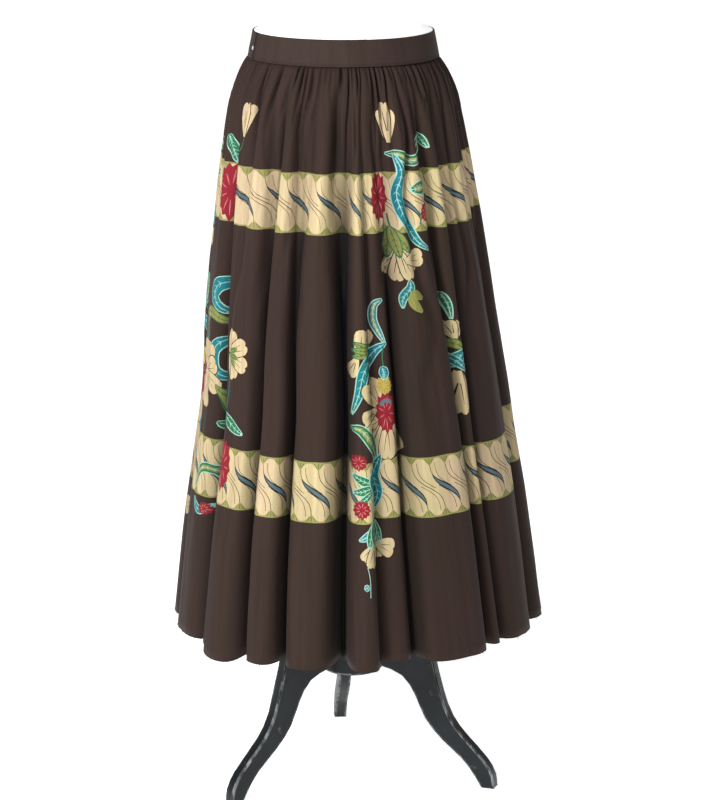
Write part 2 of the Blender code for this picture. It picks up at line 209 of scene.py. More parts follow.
class Gathers:
    """One family of waist gathers, each with its own place, depth and length."""

    def __init__(self, count, step, lengths, width, depths, rng):
        self.count = count
        self.seed = int(rng.integers(1, 10000))
        number = int(count / step) + 2
        self.places = np.cumsum(step * rng.uniform(*GATHER_SPACINGS, number)) - step
        self.shares = rng.uniform(SHALLOWEST_GATHER, DEEPEST_GATHER, number)
        self.lengths = lengths[0] + (lengths[1] - lengths[0]) * rng.uniform(0, 1, number) ** 2
        self.width = width
        self.depths = depths

    def inset(self, at, down):
        """How far in the cloth lies, at a number of gathers along and a distance down."""
        nearest = np.searchsorted(self.places, at)
        total = np.zeros(np.broadcast(at, down).shape)
        for step in (-2, -1, 0, 1):
            pick = nearest + step
            real = (pick >= 0) & (pick < len(self.places))
            pick = np.clip(pick, 0, len(self.places) - 1)
            fade = np.exp(-(down / self.lengths[pick]) ** 2)
            wander = (GATHER_WANDER * smooth_share(0.0, WANDER_START, down)
                      * lattice_noise(0.83 * pick, down / WANDER_LENGTH, self.seed))
            dip = np.exp(-((at - self.places[pick] - wander) / self.width) ** 2)
            total = total + np.where(real, self.shares[pick] * fade * dip, 0.0)
        ends = (smooth_share(0.0, END_GATHERS, at)
                * smooth_share(self.count, self.count - END_GATHERS, at))
        return total * ends * smooth_curve(*self.depths, down)


class Cloth:
    """A panel's cloth, from flat metres (along, down) to its place in the gathered skirt."""

    SHARES = 161
    ROWS = 72

    def __init__(self, valleys, seed, under=False, seam_valley=None):
        rng = np.random.default_rng(seed)
        self.valleys = valleys
        self.seed = seed
        self.under = under
        for name in Valley._fields:
            setattr(self, name, np.array([getattr(row, name) for row in valleys], float))
        self.first_gather = np.concatenate(([0.0], np.cumsum(self.gathers[:-1])))
        count = self.first_gather[-1]
        self.fine = Gathers(count, FINE_STEP, FINE_LENGTHS, FINE_WIDTH, FINE_DEPTHS, rng)
        self.long = Gathers(count, LONG_STEP, LONG_LENGTHS, LONG_WIDTH, LONG_DEPTHS, rng)
        self.measure()
        self.seam = self.starts[seam_valley] if seam_valley else None

    def measure(self):
        """Works out each fold's flat width from its length at the hem, and the share of the
        fold that each share of its cloth reaches at every height."""
        folds = len(self.valleys) - 1
        shares = np.linspace(0.0, 1.0, self.SHARES)
        self.row_down = np.linspace(0.0, CLOTH_LENGTH, self.ROWS)
        fold, down, share = np.meshgrid(np.arange(folds), self.row_down, shares, indexing="ij")
        x, y, _ = self.shape(fold, share, down)
        steps = np.hypot(np.diff(x, axis=2), np.diff(y, axis=2))
        run = np.concatenate((np.zeros((folds, self.ROWS, 1)), np.cumsum(steps, axis=2)), axis=2)
        self.spreads = run[:, -1, -1].sum() / run[:, :, -1].sum(axis=0)
        self.widths = run[:, -1, -1].copy()
        self.starts = np.concatenate(([0.0], np.cumsum(self.widths)))
        self.flat_width = float(self.starts[-1])
        run /= run[:, :, -1:]
        flat = self.starts[:-1, None, None] + run * self.widths[:, None, None]
        rise = self.rise(self.row_down)[None, :, None]
        arc = self.angle(fold, share, rise) * self.girth(self.row_down)[None, :, None]
        join = (self.ROWS, folds * self.SHARES)
        self.seen_flat = flat.transpose(1, 0, 2).reshape(join)
        self.seen_arc = np.maximum.accumulate(arc.transpose(1, 0, 2).reshape(join), axis=1)
        self.reach = np.array([[np.interp(shares, run[k, r], shares)
                                for r in range(self.ROWS)] for k in range(folds)])

    @staticmethod
    def cell(share, count):
        """The place of a share of the whole among count stations, just short of the last."""
        return np.clip(share * (count - 1), 0.0, count - 1.0001)

    def beside(self, along, across, down):
        """The flat place seen a hung distance across from the line down the cloth at along."""
        row = self.cell(down / CLOTH_LENGTH, self.ROWS)
        places = []
        for pick in (int(row), int(row) + 1):
            arc = np.interp(along, self.seen_flat[pick], self.seen_arc[pick])
            places.append(np.interp(arc + across, self.seen_arc[pick], self.seen_flat[pick]))
        return float(mix(places[0], places[1], row - int(row)))

    def spread(self, down):
        """How many times wider the flat cloth is than the hung cloth at a distance down."""
        return float(np.interp(down, self.row_down, self.spreads))

    def crest_share(self, fold, share):
        """0 in a valley and 1 on the crest: broad crests between narrower valleys."""
        width = self.hem[fold + 1] - self.hem[fold]
        left, right = self.gap[fold] / width, self.gap[fold + 1] / width
        inner = np.clip((share - left) / (1.0 - left - right), 0.0, 1.0)
        bump = 1.0 - np.exp(-CREST_FLATNESS * np.sin(math.pi * inner) ** 2)
        return bump / (1.0 - math.exp(-CREST_FLATNESS))

    def height(self, down):
        return SKIRT_TOP + TUCK - down * (SKIRT_TOP + TUCK - HEM_HEIGHT) / CLOTH_LENGTH

    def rise(self, down):
        return np.clip((self.height(down) - HEM_HEIGHT) / (SKIRT_TOP - HEM_HEIGHT), 0.0, 1.0)

    def girth(self, down):
        """The skirt's mean radius at a distance down the cloth."""
        heights = [row.height for row in SKIRT_SECTIONS]
        radii = [0.5 * (row.half_width + row.front) for row in SKIRT_SECTIONS]
        return smooth_curve(heights, radii, self.height(down))

    def angle(self, fold, share, rise):
        """Radians round the skirt; the crests lean over the valleys beside them."""
        sway = 4.0 * rise * (1.0 - rise)
        left = mix(self.hem[fold], self.waist[fold], rise) + sway * self.sway[fold]
        right = mix(self.hem[fold + 1], self.waist[fold + 1], rise) + sway * self.sway[fold + 1]
        lean = (OVERHANG * smooth_share(0.95, 0.45, rise) * (right - left)
                * np.sin(math.tau * share))
        return np.radians(mix(left, right, share) - lean)

    def shape(self, fold, share, down):
        """The place of a share of a fold at a distance down the cloth."""
        height = self.height(down)
        middle, half_width, front, back, depth = (
            section_curve(name, height) for name in Section._fields[1:])
        crest = self.crest_share(fold, share)
        angle = self.angle(fold, share, self.rise(down))
        inset = depth * mix(mix(self.depth[fold], self.depth[fold + 1], share),
                            self.crest[fold], crest)
        at = self.first_gather[fold] + share * self.gathers[fold]
        inset = inset + self.fine.inset(at, down) + self.long.inset(at, down)
        if self.under:
            hem_angle = mix(self.hem[fold], self.hem[fold + 1], share)
            sunk = smooth_share(UNDER_SINK_START, UNDER_SINK_END, hem_angle)
            deepest = (depth * UNDER_SHARE + UNDER_CLEARANCE + DEEPEST_GATHER
                       * (smooth_curve(*FINE_DEPTHS, down) + smooth_curve(*LONG_DEPTHS, down)))
            inset = mix(inset, deepest, sunk)
        inset = inset + TUCK_DEPTH * np.exp(-(down / TUCK_FADE) ** 2)
        out_x = half_width * np.sin(angle)
        out_y = -np.where(np.cos(angle) > 0.0, front, back) * np.cos(angle)
        keep = 1.0 - inset / np.hypot(out_x, out_y)
        low = np.clip((DROP_START - height) / (DROP_START - HEM_HEIGHT), 0, 1)
        return middle + out_x * keep, out_y * keep, height - self.drop[fold] * crest * low

    def place(self, along, down):
        """Points of the hung cloth, and its painted shade, for arrays of flat places."""
        folds = len(self.valleys) - 1
        fold = np.clip(np.searchsorted(self.starts, along, side="right") - 1, 0, folds - 1)
        flat_share = np.clip((along - self.starts[fold]) / self.widths[fold], 0.0, 1.0)
        row = self.cell(down / CLOTH_LENGTH, self.ROWS)
        column = self.cell(flat_share, self.SHARES)
        low_row, low_column = row.astype(int), column.astype(int)
        shares = [mix(self.reach[fold, low_row + k, low_column],
                      self.reach[fold, low_row + k, low_column + 1], column - low_column)
                  for k in (0, 1)]
        share = mix(*shares, row - low_row)
        x, y, z = self.shape(fold, share, down)
        grow = 1.0 + self.creases(along, down) / np.hypot(x, y)
        points = np.column_stack((x * grow, y * grow, z))
        return points, self.painted_shade(fold, share, down)

    def painted_shade(self, fold, share, down):
        """Painted shade: 1 on the crests, and less deep in a valley or a gather, where little
        light comes.
        """
        depth = section_curve("fold", self.height(down))
        valley = depth * (mix(self.depth[fold], self.depth[fold + 1], share) - self.crest[fold])
        shut = (1.0 - self.crest_share(fold, share)) ** 0.8
        shade = VALLEY_SHADE * mix(1.0, VALLEY_SHADE_LEFT, smooth_share(*VALLEY_FADE, down))
        deep = 1.0 - shade * shut * smooth_share(0.004, 0.026, valley)
        at = self.first_gather[fold] + share * self.gathers[fold]
        dip = self.fine.inset(at, down) + self.long.inset(at, down)
        strength = GATHER_SHADE * mix(1.0, GATHER_SHADE_LEFT, smooth_share(*GATHER_FADE, down))
        return deep * (1.0 - strength * smooth_share(0.0015, 0.010, dip))

    def creases(self, along, down):
        """Soft uneven wrinkles, long ones down the folds and small ones across them."""
        calm = (smooth_share(0.0, CREASE_START, down) * smooth_share(0.0, CREASE_END, along)
                * smooth_share(self.flat_width, self.flat_width - CREASE_END, along))
        return calm * sum(
            high * lattice_noise(along / wide + slant * down, down / tall, self.seed + 1 + k)
            for k, (wide, slant, tall, high) in enumerate(CREASES))


# Inks of the print, as the eye sees them, from 0 to 255. Under the bright studio light
# their own colours are darker by the light's share.
LIGHT_SHARE = 0.62
PLAIN_GROUND = (63, 49, 45)
INKS = {
    "ground": (58, 43, 37),
    "cream": (216, 197, 155),
    "line": (58, 42, 28),
    "olive": (150, 150, 78),
    "green": (48, 118, 78),
    "teal": (28, 128, 140),
    "red": (150, 36, 50),
    "pale": (168, 218, 206),
    "grey_blue": (98, 122, 128),
    "navy": (36, 40, 56),
    "scroll": (160, 158, 96),
    "moss": (92, 108, 56),
    "yellow": (196, 176, 84),
    "rose": (206, 120, 116),
}


def linear_colour(ink):
    """An ink's own linear colour."""
    return [LIGHT_SHARE * ((value / 255.0 + 0.055) / 1.055) ** 2.4 for value in ink] + [1.0]


class Print:
    """The inked shapes of one panel, in flat metres; a later shape covers an earlier one."""

    def __init__(self):
        self.shapes = []
        self.inks = []

    def fill(self, ink, outline):
        """Adds an outline, turned anticlockwise, which the cutting needs."""
        points = np.asarray(outline, float)
        x, y = points.T
        turned = np.sum(x * np.roll(y, -1) - np.roll(x, -1) * y) > 0.0
        self.shapes.append((points if turned else points[::-1]).tolist())
        self.inks.append(ink)

    def stroke(self, ink, path, width, taper=False):
        share = np.linspace(0.0, 1.0, len(path))
        widths = width * (0.12 + 0.88 * np.sin(math.pi * share) if taper else 1.0 + 0.0 * share)
        self.fill(ink, stroke_outline(path, widths))


def stroke_outline(path, widths):
    """The outline of a band along a path, with its own width at every point."""
    path = np.asarray(path, float)
    ahead = np.gradient(path, axis=0)
    ahead /= np.hypot(ahead[:, 0], ahead[:, 1])[:, None] + 1e-12
    side = np.column_stack((-ahead[:, 1], ahead[:, 0])) * 0.5 * np.reshape(widths, (-1, 1))
    return np.concatenate((path + side, (path - side)[::-1]))


def smooth_path(points, steps):
    """Points along a smooth curve through a few chosen ones."""
    points = np.asarray(points, float)
    knots = np.arange(len(points), dtype=float)
    at = np.linspace(0.0, len(points) - 1.0, steps)
    before = np.vstack((2 * points[0] - points[1], points, 2 * points[-1] - points[-2]))
    cell = np.minimum(at.astype(int), len(points) - 2)
    t = (at - knots[cell])[:, None]
    p0, p1, p2, p3 = (before[cell + k] for k in range(4))
    return 0.5 * (2 * p1 + (p2 - p0) * t + (2 * p0 - 5 * p1 + 4 * p2 - p3) * t ** 2
                  + (3 * p1 - p0 - 3 * p2 + p3) * t ** 3)


# The printed bands: slanting lobes parted by S lines, every second one thickened to a blade.
# There are two, and both stand higher beyond the valley where a width of cloth is sewn on.
BAND_TOPS = (0.136, 0.508)
BAND_DEPTHS = (0.078, 0.080)
BAND_PERIODS = (0.056, 0.049)
BAND_RUN = 0.86
BAND_SHIFT = 0.3
SEAM_VALLEYS = {"front_panel": 8, "back_panel": 5}
SEAM_RISES = (0.010, 0.028)
SEAM_WIDTH = 0.0014
EDGE_LINE = 0.0020
FAN_WIDTH = 0.40
FAN_DEPTH = 0.0100
FAN_LEANS = (-0.56, 0.0, 0.56)
CONTOUR_WIDTH = 0.0010
BLADE_WIDTH = 0.0046
BLADE_EDGE = 0.0018
# The contours of one S: first and last share of the band's depth, points, shift in periods,
# and width as a share of the contour's.
CONTOURS = ((0.08, 0.92, 12, 0.0, 1.0), (0.10, 0.52, 9, 0.15, 0.8), (0.48, 0.90, 9, -0.15, 0.8))


def s_line(start, top, depth, period, first, last, steps, shift=0.0):
    """Part of one S line of the printed band, from its top edge to its bottom one."""
    share = np.linspace(first, last, steps)
    slide = 0.5 + 0.5 * np.tanh(6.0 * (share - 0.5)) / math.tanh(3.0)
    return np.column_stack((start + (shift + BAND_RUN * slide) * period, top + depth * share))


def fan(printed, along, edge, way, period):
    """A small scroll in the corner between two lobes, at the band's top or bottom edge."""
    share = np.linspace(-1.0, 1.0, 9)
    height = FAN_DEPTH * (1.0 - np.abs(share)) ** 1.6
    half = 0.5 * FAN_WIDTH * period
    outline = [(along + half * s, edge + way * h) for s, h in zip(share, height)]
    printed.fill("scroll", outline + [(along + half, edge), (along - half, edge)])
    for lean in FAN_LEANS:
        tip = (along + 0.4 * lean * half, edge + way * 0.62 * FAN_DEPTH)
        printed.stroke("moss", [(along + lean * half, edge), tip], CONTOUR_WIDTH)


def draw_band(printed, left, right, top, depth, period, phase):
    """The band's lines and blades; its cream ground and edges are in ground_ink."""
    for number in range(math.ceil(2.0 * (left / period - phase)) - 1,
                        int(2.0 * (right / period - phase))):
        start = (phase + 0.5 * number) * period
        line = (start, top, depth, period)
        for first, last, steps, shift, share in CONTOURS:
            printed.stroke("line", s_line(*line, first, last, steps, shift),
                           share * CONTOUR_WIDTH)
        if number % 2 == 0:
            printed.stroke("navy", s_line(*line, 0.28, 0.80, 11),
                           BLADE_WIDTH + 2.0 * BLADE_EDGE, taper=True)
            printed.stroke("grey_blue", s_line(*line, 0.33, 0.75, 9), BLADE_WIDTH, taper=True)
        half = 0.5 * FAN_WIDTH * period
        for along, edge, way in ((start, top + EDGE_LINE, 1.0),
                                 (start + BAND_RUN * period, top + depth - EDGE_LINE, -1.0)):
            if left + half < along < right - half:
                fan(printed, along, edge, way, period)


# Leaves and flowers, in millimetres. A petal's side is given as shares of its length and width.
LEAF_RIM = 2.4
VEIN_WIDTH = 1.0
PETAL_RIM = 1.1
PETAL_SIDE = ((0.0, 0.16), (0.25, 0.33), (0.5, 0.45), (0.70, 0.50), (0.84, 0.48), (0.94, 0.36),
              (0.99, 0.20), (0.98, 0.08), (0.94, 0.02))
RAGGED_POINTS = 26


class Spray:
    """Leaves and flowers beside one line down the cloth. Their places are millimetres as the
    cloth hangs: across from the line, and down from the waist. A turn of 0 points down and
    90 points to the right."""

    def __init__(self, printed, cloth, along, lower=0.0, way=1.0):
        self.printed, self.cloth, self.along = printed, cloth, along
        self.lower, self.way = lower, way

    def fill(self, ink, outline):
        flat = []
        for across, down in outline:
            down = 0.001 * (down + self.lower)
            flat.append((self.cloth.beside(self.along, 0.001 * self.way * across, down), down))
        self.printed.fill(ink, flat)

    def stem(self, ink, path, width=1.8):
        line = smooth_path(path, 4 * len(path))
        self.fill(ink, stroke_outline(line, np.full(len(line), width)))

    def leaf(self, ink, path, width, heart=None, rim="pale"):
        """A leaf or ribbon along a path, with a pale rim, a mid vein and side veins."""
        line = smooth_path(path, 5 * len(path) - 3)
        share = np.linspace(0.0, 1.0, len(line))
        widths = width * (0.05 + 0.95 * np.sin(math.pi * share ** 0.85) ** 0.8)
        self.fill(rim, stroke_outline(line, widths + LEAF_RIM))
        self.fill(ink, stroke_outline(line[:-1], widths[:-1] - 0.3))
        if heart:
            self.fill(heart, stroke_outline(line[2:-2], 0.5 * widths[2:-2]))
        self.fill(rim, stroke_outline(line[1:-1], np.full(len(line) - 2, VEIN_WIDTH)))
        ahead = np.gradient(line, axis=0)
        ahead /= np.hypot(ahead[:, 0], ahead[:, 1])[:, None]
        side = np.column_stack((-ahead[:, 1], ahead[:, 0]))
        for k in range(2, len(line) - 3, 2):
            for way in (-1.0, 1.0):
                tip = line[k] + 0.30 * widths[k] * (1.1 * ahead[k] + way * side[k])
                self.fill(rim, stroke_outline([line[k], tip], (VEIN_WIDTH, 0.3)))

    def petal(self, base, turn, length, width):
        """A rounded petal with a notched tip, a dark edge and two thin lines."""
        for layer, grow in (("line", PETAL_RIM), ("cream", 0.0)):
            outline = [(side * (half * width + grow), reach * length + grow * (reach > 0.5))
                       for side, row in ((-1.0, PETAL_SIDE), (1.0, PETAL_SIDE[::-1]))
                       for reach, half in row]
            self.fill(layer, turned(outline, base, turn))
        for lean in (-0.13, 0.10):
            vein = [(0.4 * lean * width, 0.28 * length), (lean * width, 0.52 * length),
                    (1.5 * lean * width, 0.76 * length)]
            self.fill("line", stroke_outline(turned(vein, base, turn), (0.9, 0.8, 0.4)))

    def bloom(self, base, turn, length, spread, count, width):
        """A bell of petals fanned about a turn, the outer ones first and a little shorter."""
        order = sorted(range(count), key=lambda k: -abs(k - 0.5 * (count - 1)))
        for k in order:
            lean = k / (count - 1.0) - 0.5
            self.petal(base, turn + spread * lean, length * (1.0 - 0.35 * abs(lean)),
                       length * width)

    def cup(self, base, turn, length, spread, ink="olive", rim="green"):
        """Three narrow leaves that hold a bloom."""
        for lean in (-0.5, 0.5, 0.0):
            line = turned([(0.0, -0.1 * length), (1.5 * lean, 0.5 * length), (0.0, length)],
                          base, turn + spread * lean)
            self.leaf(ink, line, 0.30 * length, rim=rim)

    def ragged(self, ink, middle, width, height, streak="rose"):
        """A flower with a ragged edge and paler streaks out from its heart."""
        points = np.arange(RAGGED_POINTS)
        turn = math.tau * points / RAGGED_POINTS
        reach = 1.0 + np.where(points % 2, -0.17, 0.06 * np.cos(5.0 * turn))
        rim = np.column_stack((np.sin(turn) * reach * 0.5 * width,
                               np.cos(turn) * reach * 0.5 * height))
        self.fill(ink, rim + np.asarray(middle))
        for k in points[::3]:
            line = np.outer((0.28, 0.52, 0.78), rim[k]) + np.asarray(middle)
            self.fill(streak, stroke_outline(line, (0.6, 1.5, 0.5)))


def turned(points, base, turn):
    """Points given sideways and outwards from a base, turned from straight down."""
    angle = math.radians(turn)
    points = np.asarray(points, float)
    return np.column_stack((
        base[0] + points[:, 0] * math.cos(angle) + points[:, 1] * math.sin(angle),
        base[1] - points[:, 0] * math.sin(angle) + points[:, 1] * math.cos(angle)))


def upper_spray(spray):
    """The flowers that hang from the waist over the upper printed band."""
    spray.bloom((-6, 98), 178, 52, 16, 3, 0.26)
    spray.ragged("red", (-25, 168), 26, 68)
    spray.leaf("green", ((-12, 112), (5, 114), (21, 123), (35, 115), (42, 92)), 12, "olive")
    spray.leaf("green", ((43, 90), (48, 98), (54, 110)), 7)
    spray.leaf("green", ((40, 160), (31, 158), (16, 160)), 17, "olive")
    spray.ragged("red", (39, 190), 20, 27)
    spray.stem("green", ((28, 205), (30, 196), (26, 188)))
    spray.leaf("teal", ((-2, 113), (5, 137), (-2, 163), (3, 186), (14, 208), (27, 229),
                        (46, 241)), 13)
    spray.stem("green", ((-13, 190), (-11, 202), (-9, 212)))
    spray.bloom((-3, 236), 8, 44, 74, 4, 0.40)
    spray.petal((6, 250), 96, 25, 24)
    spray.cup((-10, 210), 14, 38, 44)
    spray.leaf("teal", ((9, 275), (9, 286), (0, 298), (-1, 312)), 11)
    spray.stem("green", ((5, 291), (9, 297)))
    spray.leaf("olive", ((8, 293), (17, 295), (29, 301)), 10, rim="scroll")
    spray.leaf("olive", ((8, 295), (14, 307), (25, 318)), 10, rim="scroll")


def lower_spray(spray):
    """The flowers that climb from the lower printed band."""
    spray.leaf("teal", ((7, 300), (-6, 307), (-9, 326), (-1, 344), (7, 358)), 11, "olive")
    spray.petal((-33, 368), 158, 34, 27)
    spray.petal((-35, 370), 335, 29, 15)
    spray.cup((-15, 364), 262, 27, 40)
    spray.leaf("teal", ((8, 357), (-12, 368), (-28, 390), (-37, 418), (-49, 446)), 14)
    spray.stem("green", ((4, 360), (1, 374), (2, 390)))
    for petal in (((-2, 446), 208, 48, 30), ((-4, 450), 285, 31, 32), ((-4, 452), 318, 38, 26),
                  ((-4, 462), 352, 44, 24), ((8, 462), 8, 44, 26), ((1, 462), 358, 48, 26)):
        spray.petal(*petal)
    spray.ragged("yellow", (1, 412), 24, 26, "olive")
    spray.ragged("red", (1, 448), 33, 56)
    spray.stem("grey_blue", ((-7, 438), (-2, 433), (4, 432), (10, 436)), 5)
    spray.leaf("teal", ((-1, 387), (2, 396), (1, 405)), 13)
    spray.leaf("green", ((-52, 463), (-37, 466), (-24, 486), (-17, 512)), 13, "olive")
    spray.ragged("red", (-44, 507), 24, 22)
    spray.leaf("green", ((-26, 536), (-40, 531), (-54, 522)), 11)
    spray.leaf("green", ((-26, 540), (-40, 545), (-54, 547)), 11)
    spray.leaf("green", ((-27, 546), (-38, 556), (-47, 560)), 8)
    spray.ragged("red", (-43, 569), 24, 26)
    spray.leaf("teal", ((-11, 503), (-23, 530), (-18, 553), (-25, 577)), 15)
    spray.stem("green", ((-24, 570), (-27, 584), (-28, 596)))
    spray.leaf("teal", ((-30, 596), (-39, 605), (-49, 610)), 8)
    spray.bloom((-29, 616), 350, 32, 54, 3, 0.52)
    spray.petal((-24, 622), 72, 27, 27)
    spray.cup((-28, 590), 2, 32, 34, "green", "pale")
    spray.stem("pale", ((-40, 645), (-38, 662), (-39, 686)), 1.0)
    spray.ragged("pale", (-43, 672), 8, 10, "teal")


def edge_spray(spray):
    """The flowers that the wrap's free edge cuts off."""
    spray.bloom((-12, 98), 176, 54, 12, 2, 0.30)
    spray.stem("green", ((-12, 98), (-15, 110), (-20, 118)))
    spray.bloom((-14, 384), 92, 42, 140, 4, 0.55)
    spray.cup((-14, 384), 80, 22, 70, "green", "olive")
    spray.stem("teal", ((-12, 400), (-14, 430), (-18, 466)), 2.2)
    spray.leaf("green", ((-20, 464), (2, 480), (22, 487)), 13)
    spray.ragged("red", (-11, 534), 32, 72)


def side_spray(spray):
    """The flowers in the folds beside the wrap's free edge."""
    spray.leaf("green", ((-7, 96), (-3, 104), (4, 116), (9, 132)), 15)
    spray.ragged("red", (3, 170), 46, 78)
    spray.leaf("teal", ((22, 286), (-4, 296), (-10, 314), (12, 334)), 20)
    spray.leaf("olive", ((-40, 340), (-16, 334), (18, 348)), 14, rim="green")
    spray.stem("olive", ((-36, 344), (-40, 362), (-38, 384)), 2.6)
    spray.stem("pale", ((-24, 336), (-30, 352), (-28, 372)), 1.4)
    spray.leaf("teal", ((12, 364), (-8, 384), (-6, 408), (16, 424)), 20)
    spray.bloom((-30, 412), 176, 48, 40, 2, 0.55)
    spray.bloom((-34, 416), 60, 42, 110, 3, 0.60)
    spray.bloom((-34, 424), 345, 52, 40, 2, 0.50)
    spray.leaf("olive", ((-4, 430), (8, 446), (10, 470)), 8, rim="green")
    spray.leaf("green", ((2, 480), (18, 488), (30, 496)), 12)
    spray.leaf("green", ((-34, 576), (-20, 548), (6, 546), (14, 566)), 12, "olive")
    spray.leaf("teal", ((-34, 590), (-14, 604), (10, 592)), 10)
    spray.ragged("red", (-4, 600), 24, 18)


def fold_spray(spray):
    """The part of a spray that shows on one narrow fold."""
    spray.leaf("green", ((-2, 300), (1, 318), (2, 338)), 6)
    spray.bloom((3, 362), 178, 30, 30, 2, 0.55)
    spray.leaf("olive", ((-12, 366), (4, 370), (18, 380)), 11, rim="green")
    spray.leaf("teal", ((18, 380), (4, 388), (-8, 404)), 13)
    spray.leaf("teal", ((-10, 380), (4, 396), (16, 408)), 9)
    spray.bloom((2, 406), 358, 60, 26, 3, 0.34)


def band_pieces(cloth):
    """The two bands on each width of cloth in a panel: its ends, and each band's top and depth.
    A width sewn on at a seam has its bands a little higher."""
    seam = cloth.seam if cloth.seam else cloth.flat_width
    pieces = [(0.0, seam, top, depth) for top, depth in zip(BAND_TOPS, BAND_DEPTHS)]
    if cloth.seam:
        pieces += [(seam, cloth.flat_width, top - rise, depth)
                   for top, rise, depth in zip(BAND_TOPS, SEAM_RISES, BAND_DEPTHS)]
    return pieces


def ground_ink(pieces, along, down):
    """The ink under the drawn shapes at a place in the flat cloth."""
    for left, right, top, depth in pieces:
        if left <= along <= right and top < down < top + depth:
            on_edge = down < top + EDGE_LINE or down > top + depth - EDGE_LINE
            return "scroll" if on_edge else "cream"
    return "ground"


def band_rows(pieces):
    """The straight edges of the printed bands, which the cloth's rows follow."""
    return sorted({row for _, _, top, depth in pieces
                   for row in (top, top + EDGE_LINE, top + depth - EDGE_LINE, top + depth)})


WAIST_ROWS = (0.0, 0.0013, 0.0026, 0.004, 0.0058, 0.008, 0.011, 0.015, 0.020, 0.026, 0.033,
              0.041)


def down_rows(edges):
    """Rows down the cloth, close together where it comes out of the waistband."""
    rows = list(WAIST_ROWS)
    stops = [rows[-1]] + edges + [CLOTH_LENGTH]
    for first, last in zip(stops, stops[1:]):
        count = max(1, round((last - first) / DOWN_STEP))
        rows += [mix(first, last, (k + 1) / count) for k in range(count)]
    return np.array(rows)


def make_panel(name, cloth, printed, material):
    """The panel's mesh: its flat cloth cut along every inked outline, then hung."""
    width = cloth.flat_width
    pieces = band_pieces(cloth)
    across = np.linspace(0.0, width, int(width / ALONG_STEP) + 1)
    if cloth.seam:
        across[np.argmin(np.abs(across - cloth.seam))] = cloth.seam
    rows = down_rows(band_rows(pieces))
    grid_x, grid_y = np.meshgrid(across, rows)
    points = np.column_stack((grid_x.ravel(), grid_y.ravel())).tolist()
    edges = []
    for row in np.searchsorted(rows, band_rows(pieces)):
        first = int(row) * len(across)
        edges += [(first + k, first + k + 1) for k in range(len(across) - 1)]
    if cloth.seam:
        column = int(np.searchsorted(across, cloth.seam))
        edges += [(column + k * len(across), column + (k + 1) * len(across))
                  for k in range(len(rows) - 1)]
    faces = []
    for outline in printed.shapes:
        faces.append(list(range(len(points), len(points) + len(outline))))
        points += outline
    flat, _, cut, _, _, within = delaunay_2d_cdt([Vector(pair) for pair in points], edges,
                                                 faces, 0, 1e-6, True)
    flat = np.array([tuple(point) for point in flat])
    cut = np.array(cut)
    middle = flat[cut].mean(axis=1)
    inside = ((middle[:, 0] > 0.0) & (middle[:, 0] < width) & (middle[:, 1] > 0.0)
              & (middle[:, 1] < CLOTH_LENGTH))
    palette = {ink: linear_colour(value) for ink, value in INKS.items()}
    colours = [palette[printed.inks[max(within[k])] if within[k] else
                       ground_ink(pieces, *middle[k])] for k in np.flatnonzero(inside)]
    kept, corners = np.unique(cut[inside][:, ::-1], return_inverse=True)
    corners = corners.reshape(-1, 3)
    flat = flat[kept]
    hung, painted_shade = cloth.place(np.clip(flat[:, 0], 0.0, width),
                                 np.clip(flat[:, 1], 0.0, CLOTH_LENGTH))
    mesh = bpy.data.meshes.new(name)
    mesh.from_pydata(hung.tolist(), [], corners.tolist())
    loops = corners.ravel()
    mesh.uv_layers.new(name="flat").data.foreach_set("uv", flat[loops].ravel())
    paint = mesh.color_attributes.new("ink", "FLOAT_COLOR", "CORNER")
    paint.data.foreach_set("color", np.repeat(np.array(colours), 3, axis=0).ravel())
    # The painted shade of valleys and gathers goes on the mesh for the cotton to read.
    mark_painted_shade(mesh, painted_shade)
    mesh.shade_smooth()
    panel = add_piece(name, mesh, material)
    wall = panel.modifiers.new("cloth wall", "SOLIDIFY")
    wall.thickness = CLOTH_WALL
    wall.offset = -1.0
    return panel


# Loose threads at the hem: how many a panel, and how thick at shares of their length.
FRAY_COUNT = 320
FRAY_RINGS = ((0.0, 0.00022), (0.55, 0.00018), (1.0, 0.00008))


def make_frays(cloth, seed):
    """Loose threads along the raw hem, joined as one mesh."""
    rng = np.random.default_rng(seed)
    along = rng.uniform(0.004, cloth.flat_width - 0.004, FRAY_COUNT)
    roots, _ = cloth.place(along, np.full(FRAY_COUNT, CLOTH_LENGTH - CLOTH_WALL))
    points, faces = [], []
    for root, length, lean in zip(roots, 0.0012 + 0.0045 * rng.uniform(0, 1, FRAY_COUNT) ** 3,
                                  rng.uniform(-0.7, 0.7, (FRAY_COUNT, 2))):
        first = len(points)
        for share, radius in FRAY_RINGS:
            centre = (root[0] + lean[0] * length * share ** 2,
                      root[1] + lean[1] * length * share ** 2, root[2] - length * share)
            for side in range(3):
                angle = math.tau * side / 3.0
                points.append((centre[0] + radius * math.cos(angle),
                               centre[1] + radius * math.sin(angle), centre[2]))
        for ring in range(2):
            for side in range(3):
                here, after = first + 3 * ring + side, first + 3 * ring + (side + 1) % 3
                faces.append((here, after, after + 3, here + 3))
        faces += [(first + 2, first + 1, first), (first + 6, first + 7, first + 8)]
    mesh = bpy.data.meshes.new("frayed_threads")
    mesh.from_pydata(points, [], faces)
    mesh.uv_layers.new(name="flat")
    mark_painted_shade(mesh, np.ones(len(points)))
    return mesh


def mark_painted_shade(mesh, values):
    """Keeps each vertex's painted shade, which the cottons multiply into their colour."""
    mesh.attributes.new("painted_shade", "FLOAT", "POINT").data.foreach_set("value", values)


def add_piece(name, mesh, material):
    piece = bpy.data.objects.new(name, mesh)
    bpy.context.scene.collection.objects.link(piece)
    mesh.materials.append(material)
    return piece


